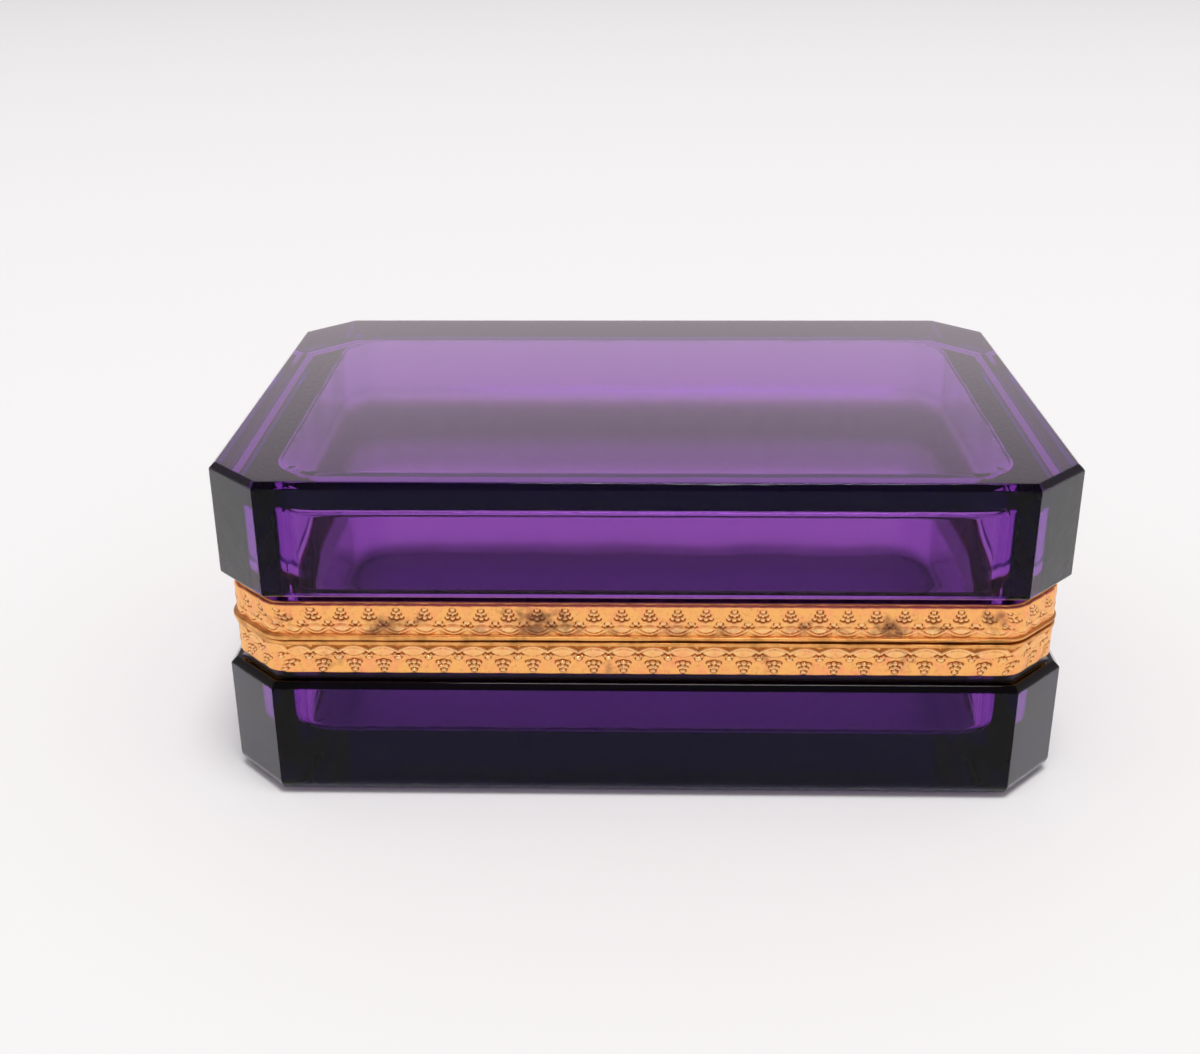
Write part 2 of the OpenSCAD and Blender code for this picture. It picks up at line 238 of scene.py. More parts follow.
@dataclass(frozen=True)
class StampedGilt:
    """Thin brass strip, stamped in a die and fire gilt.

    High spots are pale, partly rubbed wear and partly painted highlight; the ground is warm orange; and
    brown outlines every motif, partly tarnish in the hollows and partly painted shade.
    The grain of real gilding is finer, and is drawn coarser here so that it still shows.
    """

    # Pale of the high spots: rubbed wear and painted highlight
    high: str = "#FFD496"
    ground: str = "#FFBC6E"
    ruddy: str = "#FFAA72"
    # Brown of the hollows: tarnish and painted shade
    hollow_tarnish_and_shade: str = "#AC642A"
    smudge: str = "#8A5C42"
    grain_mm: float = 0.3
    speck_mm: float = 0.5
    smudge_mm: float = 1.6
    ruddy_mm: float = 2.6
    roughness: float = 0.3
    tarnished_roughness: float = 0.25
    hollow_tarnish_and_shade_ends: tuple[float, float] = (0.06, 0.42)
    wear_and_highlight_ends: tuple[float, float] = (0.6, 1.1)
    ruddy_ends: tuple[float, float] = (0.44, 0.68)
    speck_ends: tuple[float, float] = (0.54, 0.8)
    smudge_ends: tuple[float, float] = (0.8, 1.6)
    smudge_most: float = 0.85
    cloud_gain: float = 2.2
    cloud_drop: float = 0.62
    grain_depth_mm: float = 0.03
    grain_strength: float = 0.3

    def make(self) -> bpy.types.Material:
        """Makes the gilt, which reads the strip's relief and stain attributes and paints shade and
        highlight from the relief.

        Returns:
            The material.
        """
        material, tree, out = new_material("stamped_gilt_brass")
        place = add_node(tree, "ShaderNodeTexCoord")
        relief = add_node(tree, "ShaderNodeAttribute", {"attribute_name": RELIEF})
        stain = add_node(tree, "ShaderNodeAttribute", {"attribute_name": TARNISH_AND_SHADE})
        # Hollows of the relief take the brown, part tarnish and part painted shade
        low = add_node(
            tree,
            "ShaderNodeMapRange",
            {
                "From Min": self.hollow_tarnish_and_shade_ends[0],
                "From Max": self.hollow_tarnish_and_shade_ends[1],
                "interpolation_type": "SMOOTHSTEP",
            },
            {"Value": relief.outputs["Fac"]},
        )
        # High spots take the pale, part wear and part painted highlight
        top = add_node(
            tree,
            "ShaderNodeMapRange",
            {"From Min": self.wear_and_highlight_ends[0], "From Max": self.wear_and_highlight_ends[1]},
            {"Value": relief.outputs["Fac"]},
        )
        patch = add_node(
            tree,
            "ShaderNodeTexNoise",
            {"Scale": 1 / mm(self.ruddy_mm), "Detail": 4.0, "Roughness": 0.65},
            {"Vector": place.outputs["Object"]},
        )
        warmth = add_node(
            tree,
            "ShaderNodeMapRange",
            {"From Min": self.ruddy_ends[0], "From Max": self.ruddy_ends[1]},
            {"Value": patch.outputs["Fac"]},
        )
        plain = add_node(
            tree,
            "ShaderNodeMix",
            {"data_type": "RGBA", 6: linear(self.ground), 7: linear(self.ruddy)},
            {0: warmth.outputs["Result"]},
        )
        speck = add_node(
            tree,
            "ShaderNodeTexNoise",
            {"Scale": 1 / mm(self.speck_mm), "Detail": 3.0, "Roughness": 0.6},
            {"Vector": place.outputs["Object"]},
        )
        clean = add_node(
            tree,
            "ShaderNodeMapRange",
            {"From Min": self.speck_ends[0], "From Max": self.speck_ends[1], "To Min": 1.0, "To Max": 0.5},
            {"Value": speck.outputs["Fac"]},
        )
        open_ground = add_node(
            tree,
            "ShaderNodeMath",
            {"operation": "MULTIPLY"},
            {0: low.outputs["Result"], 1: clean.outputs["Result"]},
        )
        body = add_node(
            tree,
            "ShaderNodeMix",
            {"data_type": "RGBA", 6: linear(self.hollow_tarnish_and_shade)},
            {0: open_ground.outputs["Value"], 7: plain.outputs[2]},
        )
        rubbed = add_node(
            tree,
            "ShaderNodeMix",
            {"data_type": "RGBA", 7: linear(self.high)},
            {0: top.outputs["Result"], 6: body.outputs[2]},
        )
        cloud = add_node(
            tree,
            "ShaderNodeTexNoise",
            {"Scale": 1 / mm(self.smudge_mm), "Detail": 5.0, "Roughness": 0.6},
            {"Vector": place.outputs["Object"]},
        )
        patchy = add_node(
            tree,
            "ShaderNodeMath",
            {"operation": "MULTIPLY_ADD", 1: self.cloud_gain, 2: -self.cloud_drop},
            {0: cloud.outputs["Fac"]},
        )
        held = add_node(
            tree,
            "ShaderNodeMath",
            {"operation": "ADD"},
            {0: patchy.outputs["Value"], 1: stain.outputs["Fac"]},
        )
        dull = add_node(
            tree,
            "ShaderNodeMapRange",
            {
                "From Min": self.smudge_ends[0],
                "From Max": self.smudge_ends[1],
                "To Max": self.smudge_most,
            },
            {"Value": held.outputs["Value"]},
        )
        tarnished = add_node(
            tree,
            "ShaderNodeMix",
            {"data_type": "RGBA", 7: linear(self.smudge)},
            {0: dull.outputs["Result"], 6: rubbed.outputs[2]},
        )
        grain = add_node(
            tree,
            "ShaderNodeTexNoise",
            {"Scale": 1 / mm(self.grain_mm), "Detail": 2.0},
            {"Vector": place.outputs["Object"]},
        )
        bump = add_node(
            tree,
            "ShaderNodeBump",
            {"Strength": self.grain_strength, "Distance": mm(self.grain_depth_mm)},
            {"Height": grain.outputs["Fac"]},
        )
        rough = add_node(
            tree,
            "ShaderNodeMapRange",
            {"To Min": self.roughness, "To Max": self.roughness + self.tarnished_roughness},
            {"Value": dull.outputs["Result"]},
        )
        metal = add_node(
            tree,
            "ShaderNodeBsdfPrincipled",
            {"Metallic": 1.0},
            {
                "Base Color": tarnished.outputs[2],
                "Roughness": rough.outputs["Result"],
                "Normal": bump.outputs["Normal"],
            },
        )
        tree.links.new(metal.outputs["BSDF"], out.inputs["Surface"])
        return material


@dataclass(frozen=True)
class PlainMetal:
    """Rolled or drawn metal with fine scratches and a cloudy tarnish.

    Real hair scratches are finer, and are drawn coarser here so that they still show.
    """

    name: str
    bright: str
    dull: str
    roughness: float = 0.35
    cloud_mm: float = 3.0
    cloud_ends: tuple[float, float] = (0.42, 0.7)
    scratch_mm: float = 0.25
    scratch_depth_mm: float = 0.02
    scratch_stretch: float = 8.0
    scratch_strength: float = 0.25
    roughness_spread: tuple[float, float] = (-0.08, 0.15)
    metallic: float = 1.0

    def make(self) -> bpy.types.Material:
        """Makes the metal.

        Returns:
            The material.
        """
        material, tree, out = new_material(self.name)
        place = add_node(tree, "ShaderNodeTexCoord")
        cloud = add_node(
            tree,
            "ShaderNodeTexNoise",
            {"Scale": 1 / mm(self.cloud_mm), "Detail": 5.0, "Roughness": 0.6},
            {"Vector": place.outputs["Object"]},
        )
        fade = add_node(
            tree,
            "ShaderNodeMapRange",
            {"From Min": self.cloud_ends[0], "From Max": self.cloud_ends[1]},
            {"Value": cloud.outputs["Fac"]},
        )
        tone = add_node(
            tree,
            "ShaderNodeMix",
            {"data_type": "RGBA", 6: linear(self.bright), 7: linear(self.dull)},
            {0: fade.outputs["Result"]},
        )
        stretch = add_node(
            tree,
            "ShaderNodeMapping",
            {"Scale": (1.0, 1.0, self.scratch_stretch)},
            {"Vector": place.outputs["Object"]},
        )
        scratch = add_node(
            tree,
            "ShaderNodeTexNoise",
            {"Scale": 1 / mm(self.scratch_mm) / self.scratch_stretch, "Detail": 3.0},
            {"Vector": stretch.outputs["Vector"]},
        )
        bump = add_node(
            tree,
            "ShaderNodeBump",
            {"Strength": self.scratch_strength, "Distance": mm(self.scratch_depth_mm)},
            {"Height": scratch.outputs["Fac"]},
        )
        rough = add_node(
            tree,
            "ShaderNodeMapRange",
            {
                "To Min": self.roughness + self.roughness_spread[0],
                "To Max": self.roughness + self.roughness_spread[1],
            },
            {"Value": cloud.outputs["Fac"]},
        )
        metal = add_node(
            tree,
            "ShaderNodeBsdfPrincipled",
            {"Metallic": self.metallic},
            {
                "Base Color": tone.outputs[2],
                "Roughness": rough.outputs["Result"],
                "Normal": bump.outputs["Normal"],
            },
        )
        tree.links.new(metal.outputs["BSDF"], out.inputs["Surface"])
        return material


@dataclass(frozen=True)
class SetPlaster:
    """Plaster of Paris, poured and set: chalky, matt and slightly stained by the glass polish."""

    pale: str = "#D8CFBE"
    stain: str = "#9C8C74"
    speck_mm: float = 1.2
    speck_depth_mm: float = 0.08
    speck_strength: float = 0.6
    roughness: float = 0.9

    def make(self) -> bpy.types.Material:
        """Makes the plaster.

        Returns:
            The material.
        """
        material, tree, out = new_material("set_plaster")
        place = add_node(tree, "ShaderNodeTexCoord")
        speck = add_node(
            tree,
            "ShaderNodeTexNoise",
            {"Scale": 1 / mm(self.speck_mm), "Detail": 4.0},
            {"Vector": place.outputs["Object"]},
        )
        tone = add_node(
            tree,
            "ShaderNodeMix",
            {"data_type": "RGBA", 6: linear(self.stain), 7: linear(self.pale)},
            {0: speck.outputs["Fac"]},
        )
        bump = add_node(
            tree,
            "ShaderNodeBump",
            {"Strength": self.speck_strength, "Distance": mm(self.speck_depth_mm)},
            {"Height": speck.outputs["Fac"]},
        )
        chalk = add_node(
            tree,
            "ShaderNodeBsdfPrincipled",
            {"Roughness": self.roughness},
            {"Base Color": tone.outputs[2], "Normal": bump.outputs["Normal"]},
        )
        tree.links.new(chalk.outputs["BSDF"], out.inputs["Surface"])
        return material


@dataclass(frozen=True)
class FloorPaper:
    """Matt white background paper under the casket: plain, pale and without a sheen."""

    colour: str = "#F5F3F3"
    roughness: float = 0.85

    def make(self) -> bpy.types.Material:
        """Makes the paper.

        Returns:
            The material.
        """
        material, tree, out = new_material("matt_background_paper")
        paper = add_node(
            tree,
            "ShaderNodeBsdfPrincipled",
            {"Base Color": linear(self.colour), "Roughness": self.roughness},
        )
        tree.links.new(paper.outputs["BSDF"], out.inputs["Surface"])
        return material


GLASS = AmethystGlass()
EMBOSSED = StampedGilt()
# Lips and mating faces: rubbed gilding, golden with brown clouds
RIM_GILT = PlainMetal("rubbed_gilt_brass", "#F2B268", "#BC8446", 0.36)
# Liner inside the lid, painted dark as painted shade, a shaded copy of the liner brass, which dims what
# shows through the top
LID_LINER = PlainMetal("painted_shade_liner_brass", "#6B5F58", "#3E3632", 0.55)
# Liner inside the base, painted matt white as painted light, a lit copy of the liner brass, which shows
# pale through the top
BASE_LINER = PlainMetal("painted_light_liner_brass", "#FFFFFF", "#F0EBE4", 0.6, metallic=0.0)
# Bare brass, worn bright where it is handled
HINGE_BRASS = PlainMetal("worn_hinge_brass", "#E8B072", "#B5834F", 0.35)
# Grey drawn wire
PIN_STEEL = PlainMetal("drawn_steel_wire", "#9A948C", "#5D5650", 0.35)
PLASTER = SetPlaster()


# ---------------------------------------------------------------- shapes

Ring = np.ndarray


@dataclass(frozen=True)
class CutOutline:
    """Plan of the casket: a rectangle with its corners cut off at 45 degrees, in metres."""

    width: float
    depth: float
    cut: float
    bend_steps: int = 12
    spacing: float = mm(0.7)

    def direction(self, side: int) -> np.ndarray:
        """Outward direction of a side, counted anticlockwise from the front."""
        turn = math.radians(-90 + 45 * side)
        return np.array([math.cos(turn), math.sin(turn)])

    def distance(self, side: int) -> float:
        """Distance of a side from the middle.

        Args:
            side: number of the side, anticlockwise from the front.

        Returns:
            Metres from the middle to the side.
        """
        if side % 2:
            return (self.width / 2 + self.depth / 2 - self.cut) / math.sqrt(2)
        return (self.depth if side % 4 == 0 else self.width) / 2

    def corner(self, k: int, inset: float) -> np.ndarray:
        """Corner between side k and the next.

        Args:
            k: number of the side before the corner.
            inset: how far every side is moved in.

        Returns:
            x and y of the corner.
        """
        sides = np.array([self.direction(k), self.direction(k + 1)])
        reach = [self.distance(k % 8) - inset, self.distance((k + 1) % 8) - inset]
        return np.linalg.solve(sides, reach)

    def side_steps(self, side: int) -> int:
        """How many stretches a straight side is split into, the same at every inset."""
        length = np.linalg.norm(self.corner(side, 0) - self.corner(side - 1, 0))
        return max(2, round(length / self.spacing))

    def through(self, bends: list[Ring]) -> Ring:
        """Joins eight bends into one ring, with the straight sides between them split up.

        Args:
            bends: the points round each bend, from side k to side k + 1.

        Returns:
            Rows of x, y, the same number for every set of bends.
        """
        rows = []
        for k in range(8):
            start, end = bends[k - 1][-1], bends[k][0]
            steps = self.side_steps(k)
            rows += [start + (end - start) * j / steps for j in range(1, steps)]
            rows += list(bends[k])
        return np.array(rows)

    def bend(self, k: int, centre: np.ndarray, radius: float) -> Ring:
        """Points round the bend between side k and the next."""
        turns = np.radians(-90 + 45 * (k + np.arange(self.bend_steps + 1) / self.bend_steps))
        return centre + radius * np.column_stack([np.cos(turns), np.sin(turns)])

    def ring(self, inset: float, radius: float) -> Ring:
        """Outline moved in by inset, with that radius at its eight corners."""
        return self.through([self.bend(k, self.corner(k, inset + radius), radius) for k in range(8)])

    def hollow_ring(self, side_wall: float, front_wall: float, radius: float, inset: float) -> Ring:
        """Rounded rectangle inside the walls, with as many points as ring.

        Args:
            side_wall: thickness of the walls on the left and right.
            front_wall: thickness of the walls at the front and back.
            radius: radius of its corners before it is moved in.
            inset: how far it is moved in from the walls.

        Returns:
            Rows of x, y.
        """
        across = self.width / 2 - side_wall - radius
        along = self.depth / 2 - front_wall - radius
        bends = []
        for k in range(8):
            east = 1 if k < 4 else -1
            north = 1 if k in (2, 3, 4, 5) else -1
            bends.append(self.bend(k, np.array([east * across, north * along]), radius - inset))
        return self.through(bends)


def eased(profile: list[tuple[float, float]], radius: float, steps: int) -> list[tuple[float, float]]:
    """Rounds the inner corners of an open profile.

    Args:
        profile: points (inset, height), the first and last of which stay.
        radius: how far from each corner the rounding starts.
        steps: facets on each rounding.

    Returns:
        The profile with each corner drawn as a short curve.
    """
    points = [np.array(p) for p in profile]
    rounded = [points[0]]
    for before, here, after in zip(points, points[1:], points[2:]):
        start = here + (before - here) * radius / np.linalg.norm(before - here)
        end = here + (after - here) * radius / np.linalg.norm(after - here)
        for t in np.linspace(0, 1, steps + 1):
            rounded.append((1 - t) ** 2 * start + 2 * t * (1 - t) * here + t**2 * end)
    rounded.append(points[-1])
    return [(float(p[0]), float(p[1])) for p in rounded]


def quarter_round(radius: float, end: float, steps: int) -> list[tuple[float, float]]:
    """Profile of a quarter round that runs from a wall into the face at height end."""
    turns = np.linspace(0, math.pi / 2, steps + 1)
    return [(radius * (1 - math.cos(t)), end - radius + radius * math.sin(t)) for t in turns]


def loft(name: str, rings: list[np.ndarray], closed: bool = False) -> bpy.types.Object:
    """Skins a stack of rings into one closed mesh.

    Args:
        name: the piece's name.
        rings: rows of x, y, z in metres, as many in every ring.
        closed: True where the last ring joins the first, False where both ends get a face.

    Returns:
        The object, linked to the scene and shaded smooth.
    """
    count = len(rings[0])
    number = np.arange(count)
    following = np.roll(number, -1)
    pairs = list(zip(range(len(rings)), range(1, len(rings))))
    if closed:
        pairs.append((len(rings) - 1, 0))
    faces = []
    for low, high in pairs:
        quads = np.column_stack(
            [low * count + number, low * count + following, high * count + following, high * count + number]
        )
        faces += quads.tolist()
    if not closed:
        faces.append(number.tolist())
        faces.append(((len(rings) - 1) * count + number).tolist())
    mesh = bpy.data.meshes.new(name)
    mesh.from_pydata(np.vstack(rings).tolist(), [], faces)
    work = bmesh.new()
    work.from_mesh(mesh)
    bmesh.ops.remove_doubles(work, verts=work.verts, dist=MERGE)
    bmesh.ops.recalc_face_normals(work, faces=work.faces)
    work.to_mesh(mesh)
    work.free()
    mesh.shade_smooth()
    piece = bpy.data.objects.new(name, mesh)
    bpy.context.scene.collection.objects.link(piece)
    return piece


def keep_flats(piece: bpy.types.Object) -> None:
    """Lets the large faces set the shading, so that flats look flat and narrow roundings round.

    Args:
        piece: the piece that is shaded smooth.
    """
    even = piece.modifiers.new("flats", "WEIGHTED_NORMAL")
    even.weight = 100
    even.keep_sharp = True


def dress(piece: bpy.types.Object, material: bpy.types.Material) -> None:
    """Gives the whole piece one material."""
    piece.data.materials.clear()
    piece.data.materials.append(material)


def store_values(piece: bpy.types.Object, name: str, values: list[float] | np.ndarray) -> None:
    """Stores a number for each point of a piece, for its finish to read."""
    store = piece.data.attributes.new(name, "FLOAT", "POINT")
    store.data.foreach_set("value", np.asarray(values, dtype=np.float32))


def hand_over(piece: bpy.types.Object, half: Half, slot: str, *nodes: str) -> None:
    """Lets a piece ride on its body and stand for its CAD nodes.

    Args:
        piece: the new piece.
        half: the body that it moves with.
        slot: the record's material slot; not used.
        nodes: CAD nodes that it stands for.
    """
    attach(piece, half.value)
    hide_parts(*nodes)
    LOG.info("%s: %d points, rides on %s", piece.name, len(piece.data.vertices), half.value)


class Wander:
    """Slow, seeded unevenness round the casket, as hand work leaves it."""

    def __init__(self, seed: int, waves: int, strongest: int) -> None:
        """Draws the waves.

        Args:
            seed: number that fixes the draw.
            waves: how many waves are summed.
            strongest: the most turns that a wave makes round the casket.
        """
        draw = np.random.default_rng(seed)
        self.turns = draw.integers(3, strongest, waves)
        self.phase = draw.uniform(0, 2 * math.pi, waves)
        self.share = draw.uniform(0.4, 1.0, waves)
        self.share /= self.share.sum()

    def at(self, way: np.ndarray) -> np.ndarray:
        """Unevenness from -1 to 1 at a share of the way round from 0 to 1."""
        angles = 2 * math.pi * np.outer(way, self.turns) + self.phase
        return np.sin(angles) @ self.share


@dataclass
class CutGlass:
    """One heavy glass: cut outside, pressed hollow inside, with a neck for its mount."""

    half: Half
    outline: CutOutline
    mate_z: float
    mount_h: float
    reveal: float
    height: float
    end_t: float
    foot_r: float
    hollow_fillet: float
    heel: float
    # How dark the shoulder is painted: painted shade under the mount
    painted_shade: float
    seeds: tuple[int, int, int]
    bevel: float = mm(1.0)
    neck_inset: float = mm(3.2)
    neck_bend: float = mm(4.3)
    neck_end: float = mm(1.2)
    side_wall: float = SIDE_WALL
    front_wall: float = FRONT_WALL
    hollow_r: float = HOLLOW_R
    edge: float = mm(0.22)
    contact: float = mm(0.03)
    ease_steps: int = 3
    round_steps: int = 14
    wall_steps: int = 6

    # Slow, quick and fine waves of the pressed hollow: how many of each, and their most turns round
    waves: tuple[tuple[int, int], ...] = ((9, 26), (14, 90), (40, 320))
    wave_shares: tuple[float, float, float] = (1.6, 0.7, 0.35)
    wave_lean: float = 0.05
    wave_rise: float = 0.7
    pressed_wave: float = mm(0.1)

    # How far in the waves end and the flat end starts, in fillets
    wave_until: float = 1.2
    flat_from: float = 1.6

    @property
    def shoulder(self) -> float:
        """Distance from the mating face to the shoulder."""
        return self.mount_h + self.reveal

    @property
    def end(self) -> float:
        """Distance from the mating face to the far flat face."""
        return self.shoulder + self.height

    def raise_ring(self, plan: Ring, away: float) -> np.ndarray:
        """Puts a plan ring at a distance from the mating face."""
        z = self.mate_z + self.half.away * away
        return np.column_stack([plan, np.full(len(plan), z)])

    def outer_rings(self) -> list[np.ndarray]:
        """Rings from the end of the neck over the shoulder and the walls to the far face.

        Returns:
            For each ring its rows of x, y, z.
        """
        neck = self.outline.ring(self.neck_inset - self.contact, self.neck_bend)
        rings = [self.raise_ring(neck, self.neck_end - self.contact), self.raise_ring(neck, self.shoulder)]
        profile = [
            (self.neck_inset / 2, self.shoulder),
            (self.heel, self.shoulder),
            (0.0, self.shoulder + self.heel),
        ]
        if self.foot_r > self.bevel:
            profile.append((0.0, self.end - self.foot_r))
            profile = eased(profile, self.edge, self.ease_steps)
            profile += quarter_round(self.foot_r, self.end, self.round_steps)[1:]
        else:
            profile += [(0.0, self.end - self.bevel), (self.bevel, self.end), (self.bevel * 3, self.end)]
            profile = eased(profile, self.edge, self.ease_steps)
        for inset, away in profile:
            rings.append(self.raise_ring(self.outline.ring(inset, self.edge), away))
        return rings

    def inner_rings(self) -> list[np.ndarray]:
        """Rings from the end of the neck down the hollow to its flat end, as wavy as pressed glass.

        Twenty points of a ring fall together at each rounded corner. The waves part them by up to
        0.11 mm, which leaves a fine pleat down the corner.

        Returns:
            For each ring its rows of x, y, z.
        """
        end = self.end - self.end_t
        wall = np.linspace(self.shoulder, end - self.hollow_fillet, self.wall_steps)
        profile = [(0.0, self.neck_end - self.contact), (0.0, self.shoulder)]
        profile += [(0.0, away) for away in wall[1:-1]]
        profile += quarter_round(self.hollow_fillet, end, self.round_steps)
        profile.append((self.hollow_fillet * self.flat_from, end))
        rings = []
        slow, quick, fine = (Wander(seed, *wave) for seed, wave in zip(self.seeds, self.waves))
        slow_share, quick_share, fine_share = self.wave_shares
        for inset, away in profile:
            plan = self.outline.hollow_ring(self.side_wall, self.front_wall, self.hollow_r, inset)
            way = np.arange(len(plan)) / len(plan)
            depth = np.clip((away - self.shoulder) / (end - self.shoulder), 0, 1)
            wave = slow.at(way) * slow_share + quick.at(way + self.wave_lean * depth) * quick_share
            wave += fine.at(way) * fine_share
            inward = -plan / np.linalg.norm(plan, axis=1)[:, None]
            wavy = inset < self.hollow_fillet * self.wave_until
            strength = self.pressed_wave * depth * (1 if wavy else 0)
            plan = plan + inward * (wave * strength)[:, None]
            ring = self.raise_ring(plan, away)
            # The heights waver by other stretches of the same waves
            rise = quick.at(way + 0.4) + fine.at(way + 0.2)
            ring[:, 2] -= self.half.away * rise * strength * self.wave_rise
            rings.append(ring)
        return rings

    def mark(self, piece: bpy.types.Object) -> None:
        """Marks the points of the hollow, which keep the mould's satin, and of the shoulder, which gets
        painted shade.

        Args:
            piece: the glass.
        """
        width, depth = self.outline.width / 2, self.outline.depth / 2
        slack = mm(0.5)
        hair = mm(0.05)
        pressed, shoulder_shade = [], []
        for point in piece.data.vertices:
            away = (point.co.z - self.mate_z) * self.half.away
            inside = abs(point.co.x) < width - self.side_wall + slack
            inside = inside and abs(point.co.y) < depth - self.front_wall + slack
            pressed.append(1.0 if inside and away < self.end - self.end_t + slack else 0.0)
            # The shoulder outside the hollow gets painted shade, the shadow under the mount
            ledge = self.shoulder - hair < away < self.shoulder + self.heel + hair
            shoulder_shade.append(self.painted_shade if ledge and not inside else 0.0)
        store_values(piece, PRESSED, pressed)
        store_values(piece, TARNISH_AND_SHADE, shoulder_shade)

    def build(self, material: bpy.types.Material) -> bpy.types.Object:
        """Makes the glass.

        Args:
            material: the glass.

        Returns:
            One piece, which stands for the CAD glass. It is closed but for slivers in the corner pleats.
        """
        name = f"{self.half.value}_cut_glass"
        outer, inner = self.outer_rings()[::-1], self.inner_rings()
        piece = loft(name, outer + inner)
        self.mark(piece)
        keep_flats(piece)
        dress(piece, material)
        hand_over(piece, self.half, "amethyst_glass", f"{self.half.value}_glass")
        return piece


def bump_at(distance: np.ndarray, width: float) -> np.ndarray:
    """Smooth bump of that half width round distance 0."""
    return np.exp(-((distance / width) ** 2))


@dataclass(frozen=True)
class Bead:
    """One spot of the die, in millimetres from its axis and from the lip, with what surrounds it."""

    across: float
    away: float
    width: float
    height: float
    top: float
    moat: float = 0.0
    power: float = 2.0


@dataclass(frozen=True)
class Cord:
    """A stamped cord that swings from sprig to sprig, in millimetres, with a groove along it."""

    swing: float
    top: float
    groove: float
    beside: float


@dataclass(frozen=True)
class Stain:
    """A patch of tarnish, in millimetres from the middle of the front and from the lip."""

    along: float
    away: float
    reach: float
    strength: float


SPRIG = (
    Bead(0.0, 4.95, 0.38, 0.36, 0.15, 0.22),
    Bead(-0.44, 4.28, 0.32, 0.28, 0.07, 0.18),
    Bead(0.44, 4.28, 0.32, 0.28, 0.07, 0.18),
    Bead(0.0, 4.1, 0.22, 0.3, 0.05, 0.1),
    Bead(-0.84, 3.5, 0.34, 0.3, 0.05, 0.2),
    Bead(0.84, 3.5, 0.34, 0.3, 0.05, 0.2),
    Bead(0.0, 3.36, 0.38, 0.36, 0.13, 0.2),
)
BUD = (
    Bead(0.0, 2.5, 0.44, 0.42, 0.15, 0.22),
    Bead(-0.56, 2.06, 0.27, 0.22, 0.06, 0.16),
    Bead(0.56, 2.06, 0.27, 0.22, 0.06, 0.16),
)
CORDS = (Cord(-1.05, 0.1, 0.07, 0.3), Cord(1.0, 0.07, 0.05, -0.28))
LID_PAD = Bead(0.0, 1.28, 1.35, 0.62, 0.1, 0.05, 1.5)
BASE_PAD = Bead(0.0, 1.4, 1.9, 0.78, 0.08, 0.03, 1.5)
LID_STAINS = (
    Stain(-18.6, 2.2, 4.6, 1.15),
    Stain(-13.4, 1.2, 3.2, 0.85),
    Stain(-15.0, 4.6, 2.6, 0.7),
    Stain(-24.4, 4.8, 1.8, 0.6),
    Stain(-28.6, 0.8, 2.2, 0.8),
    Stain(-44.6, 1.6, 3.6, 1.0),
    Stain(-47.4, 0.6, 2.2, 1.0),
    Stain(-39.0, 3.4, 2.4, 0.6),
    Stain(-63.0, 2.4, 2.6, 0.6),
    Stain(27.6, 1.4, 2.6, 0.85),
    Stain(42.4, 1.4, 4.0, 1.1),
    Stain(34.0, 1.0, 2.2, 0.6),
    Stain(6.2, 0.2, 3.0, 0.8),
    Stain(14.4, 0.3, 2.6, 0.75),
    Stain(51.0, 1.4, 3.0, 0.6),
    Stain(60.6, 3.6, 3.4, 0.75),
    Stain(-5.0, 0.2, 2.6, 0.6),
)
BASE_STAINS = (
    Stain(-6.0, 4.6, 2.6, 0.55),
    Stain(-55.0, 3.0, 3.4, 0.5),
    Stain(21.0, 3.2, 3.0, 0.5),
    Stain(45.0, 2.6, 3.6, 0.5),
)


def softened(face: np.ndarray, rounds: int) -> np.ndarray:
    """Smooths a stamped face, which closes on itself round the casket.

    Args:
        face: heights, in a row for each level.
        rounds: how many times neighbours are averaged.

    Returns:
        The smoothed heights.
    """
    soft = face.copy()
    for _ in range(rounds):
        soft = (np.roll(soft, 2, 1) + np.roll(soft, -2, 1) + 2 * soft) / 4
        padded = np.pad(soft, ((2, 2), (0, 0)), mode="edge")
        soft = (padded[:-4] + padded[4:] + 2 * padded[2:-2]) / 4
    return soft


